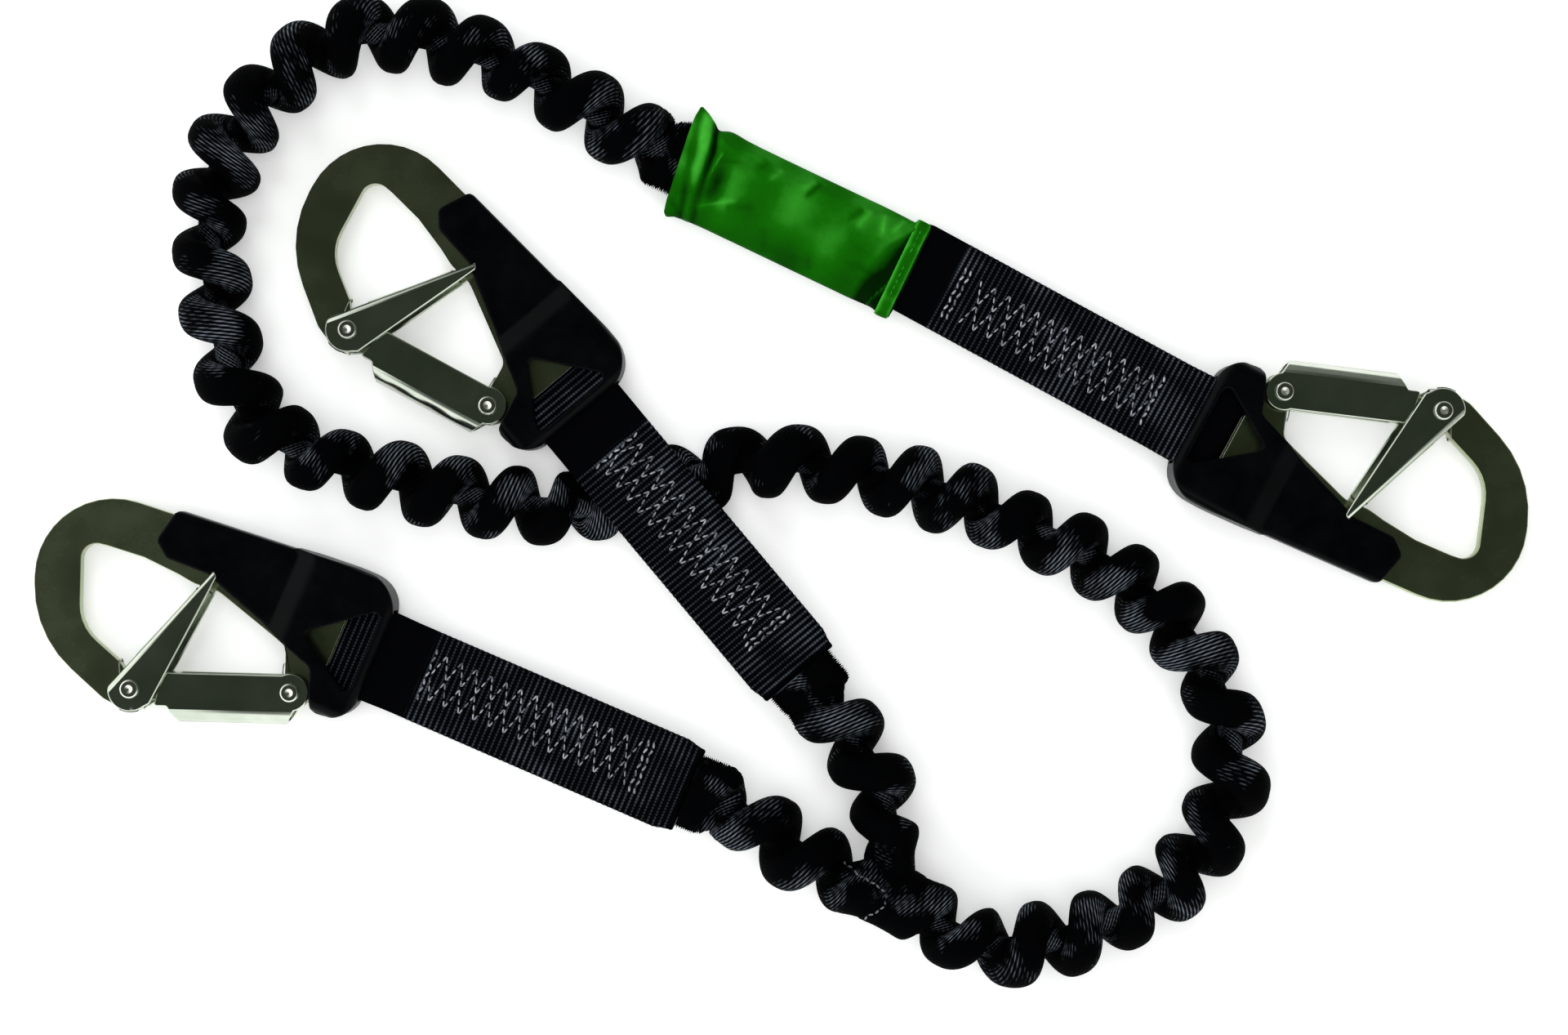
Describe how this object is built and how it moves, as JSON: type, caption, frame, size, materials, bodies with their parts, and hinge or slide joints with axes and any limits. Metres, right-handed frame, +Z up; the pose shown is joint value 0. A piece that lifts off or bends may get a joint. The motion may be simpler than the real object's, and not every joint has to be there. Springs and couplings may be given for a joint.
{
  "type": "shock absorbing lanyard",
  "caption": "Elastic safety tether in gathered webbing, with self-closing double-action hooks on sewn straps and a tear-webbing absorber in a cloth pouch.",
  "frame": {"origin": "on the surface that the tether lies on, under the middle of the box round its hooks, straps and absorber", "axes": "+X from the two short-arm hooks to the absorber's hook, +Z up from the surface"},
  "size_m": [0.5288, 0.3486, 0.0277],
  "materials": {
    "steel_plate": "polished stainless plate",
    "folded_steel": "polished folded stainless sheet",
    "rivet_steel": "bright turned stainless",
    "spring_wire": "drawn spring wire",
    "black_nylon": "satin moulded nylon",
    "black_webbing": "ribbed woven webbing",
    "gathered_sleeve": "gathered tubular webbing",
    "elastic_core": "elastic cord",
    "green_cloth": "crinkled coated cloth",
    "pale_webbing": "tear webbing"
  },
  "bodies": {
    "tether": {"hook_1_frame": "steel_plate", "hook_1_gate_rivet": "rivet_steel", "hook_1_lever_rivet": "rivet_steel", "hook_1_lever_spacers": "rivet_steel", "hook_1_gate_spring": "spring_wire", "hook_1_lever_spring": "spring_wire", "hook_1_cover": "black_nylon", "hook_1_strap": "black_webbing", "hook_2_frame": "steel_plate", "hook_2_gate_rivet": "rivet_steel", "hook_2_lever_rivet": "rivet_steel", "hook_2_lever_spacers": "rivet_steel", "hook_2_gate_spring": "spring_wire", "hook_2_lever_spring": "spring_wire", "hook_2_cover": "black_nylon", "hook_2_strap": "black_webbing", "hook_3_frame": "steel_plate", "hook_3_gate_rivet": "rivet_steel", "hook_3_lever_rivet": "rivet_steel", "hook_3_lever_spacers": "rivet_steel", "hook_3_gate_spring": "spring_wire", "hook_3_lever_spring": "spring_wire", "hook_3_cover": "black_nylon", "hook_3_strap": "black_webbing", "main_leg_sleeve": "gathered_sleeve", "main_leg_core": "elastic_core", "arm_1_sleeve": "gathered_sleeve", "arm_1_core": "elastic_core", "arm_2_sleeve": "gathered_sleeve", "arm_2_core": "elastic_core", "leg_junction": "black_webbing", "absorber_cover": "green_cloth", "tear_webbing": "pale_webbing"},
    "hook_1_gate": {"hook_1_gate": "folded_steel"},
    "hook_1_lever": {"hook_1_lever": "folded_steel"},
    "hook_2_gate": {"hook_2_gate": "folded_steel"},
    "hook_2_lever": {"hook_2_lever": "folded_steel"},
    "hook_3_gate": {"hook_3_gate": "folded_steel"},
    "hook_3_lever": {"hook_3_lever": "folded_steel"}
  },
  "joints": [
    {"name": "hook_1_gate_hinge", "type": "hinge", "parent": "tether", "child": "hook_1_gate", "pos_m": [-0.10352, 0.02464, 0.008], "axis": [0, 0, -1], "range_deg": [0, 32], "stiffness_Nm_per_rad": 0.06, "springref_deg": -28.65, "deforming": ["hook_1_gate_spring"]},
    {"name": "hook_1_lever_hinge", "type": "hinge", "parent": "tether", "child": "hook_1_lever", "pos_m": [-0.15273, 0.05136, 0.008], "axis": [0, 0, 1], "range_deg": [0, 33], "stiffness_Nm_per_rad": 0.08, "springref_deg": -28.65, "deforming": ["hook_1_lever_spring"]},
    {"name": "hook_2_gate_hinge", "type": "hinge", "parent": "tether", "child": "hook_2_gate", "pos_m": [-0.17341, -0.07656, 0.008], "axis": [0, 0, -1], "range_deg": [0, 32], "stiffness_Nm_per_rad": 0.06, "springref_deg": -28.65, "deforming": ["hook_2_gate_spring"]},
    {"name": "hook_2_lever_hinge", "type": "hinge", "parent": "tether", "child": "hook_2_lever", "pos_m": [-0.22939, -0.07509, 0.008], "axis": [0, 0, 1], "range_deg": [0, 33], "stiffness_Nm_per_rad": 0.08, "springref_deg": -28.65, "deforming": ["hook_2_lever_spring"]},
    {"name": "hook_3_gate_hinge", "type": "hinge", "parent": "tether", "child": "hook_3_gate", "pos_m": [0.17728, 0.02962, 0.008], "axis": [0, 0, -1], "range_deg": [0, 32], "stiffness_Nm_per_rad": 0.06, "springref_deg": -28.65, "deforming": ["hook_3_gate_spring"]},
    {"name": "hook_3_lever_hinge", "type": "hinge", "parent": "tether", "child": "hook_3_lever", "pos_m": [0.23287, 0.02279, 0.008], "axis": [0, 0, 1], "range_deg": [0, 33], "stiffness_Nm_per_rad": 0.08, "springref_deg": -28.65, "deforming": ["hook_3_lever_spring"]}
  ]
}
